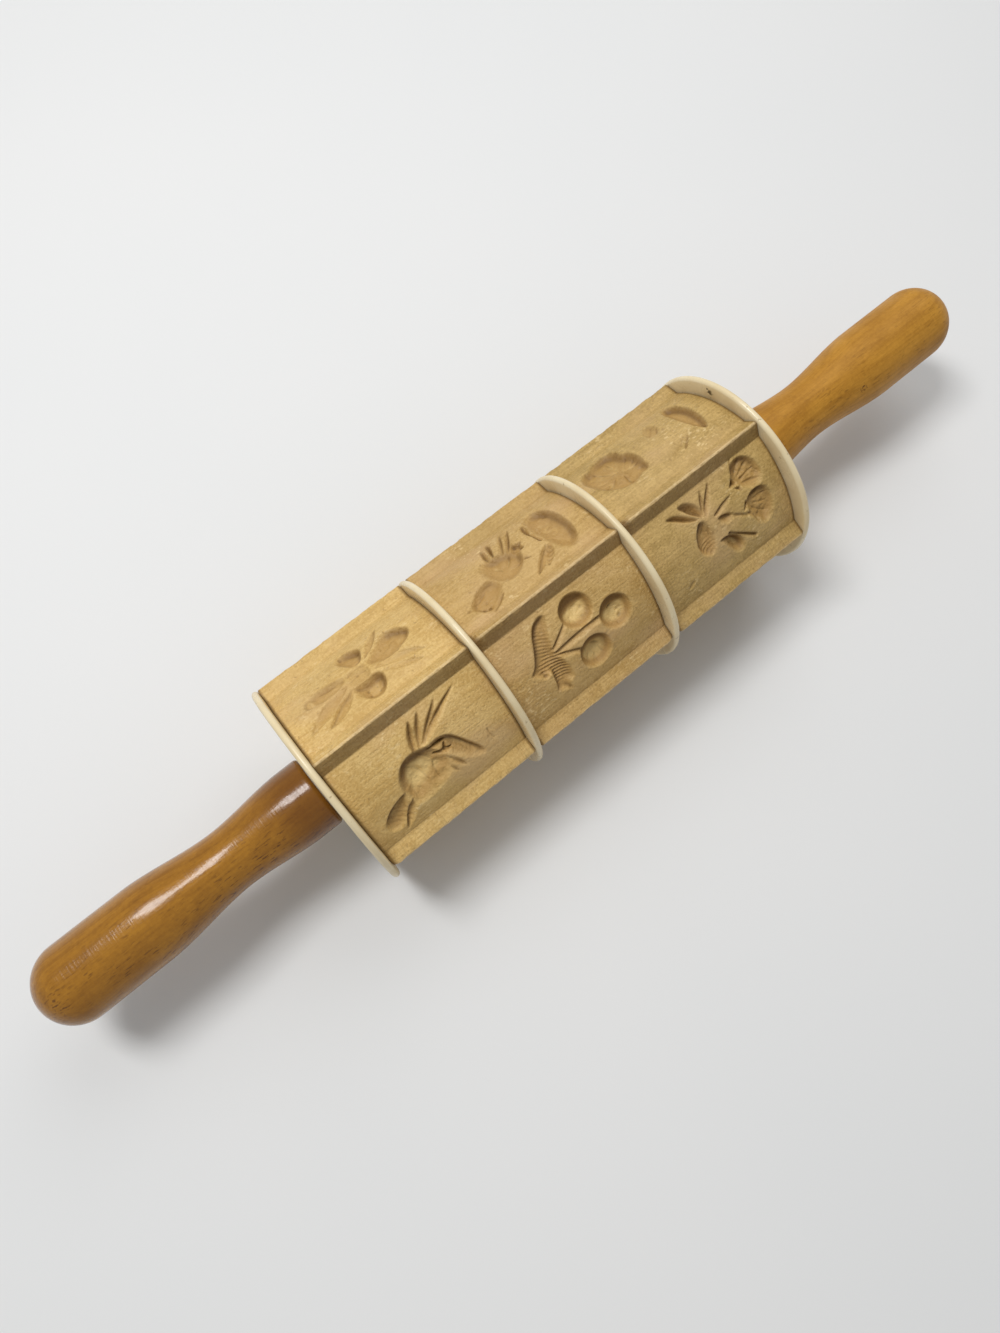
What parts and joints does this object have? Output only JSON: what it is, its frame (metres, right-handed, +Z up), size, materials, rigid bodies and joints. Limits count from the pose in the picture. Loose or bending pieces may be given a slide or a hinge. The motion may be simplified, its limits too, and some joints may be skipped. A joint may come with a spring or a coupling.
{
  "type": "springerle rolling pin",
  "caption": "Springerle rolling pin: a ridged wooden roller carved with fruit and flower moulds, banded by cream plastic discs, turning on an axle between turned, varnished wooden handles.",
  "frame": {"origin": "on the axle at the middle of the roller", "axes": "+X along the pin, +Z up when the pin lies on a table, +Y across it"},
  "size_m": [0.3936, 0.0754, 0.0754],
  "materials": {
    "carved_wood": "satin, hand carved",
    "varnished_wood": "amber gloss varnish",
    "peg_wood": "plain",
    "cream_plastic": "glossy cream",
    "nylon": "matte",
    "steel": "drawn"
  },
  "bodies": {
    "handles_and_axle": {"axle": "steel", "thrust_washer_left": "nylon", "thrust_washer_right": "nylon", "handle_left": "varnished_wood", "handle_right": "varnished_wood"},
    "roller": {"carved_segment_left": "carved_wood", "carved_segment_middle": "carved_wood", "carved_segment_right": "carved_wood", "end_disc_left": "cream_plastic", "divider_disc_left": "cream_plastic", "divider_disc_right": "cream_plastic", "end_disc_right": "cream_plastic", "divider_peg_left_front": "peg_wood", "divider_peg_left_back": "peg_wood", "divider_peg_right_front": "peg_wood", "divider_peg_right_back": "peg_wood", "end_peg_left_front": "peg_wood", "end_peg_left_back": "peg_wood", "end_peg_right_front": "peg_wood", "end_peg_right_back": "peg_wood", "bearing_bush_left": "nylon", "bearing_bush_right": "nylon"}
  },
  "joints": [
    {"name": "roller_spin", "type": "hinge", "parent": "handles_and_axle", "child": "roller", "pos_m": [0, 0, 0], "axis": [1, 0, 0], "continuous": true}
  ]
}
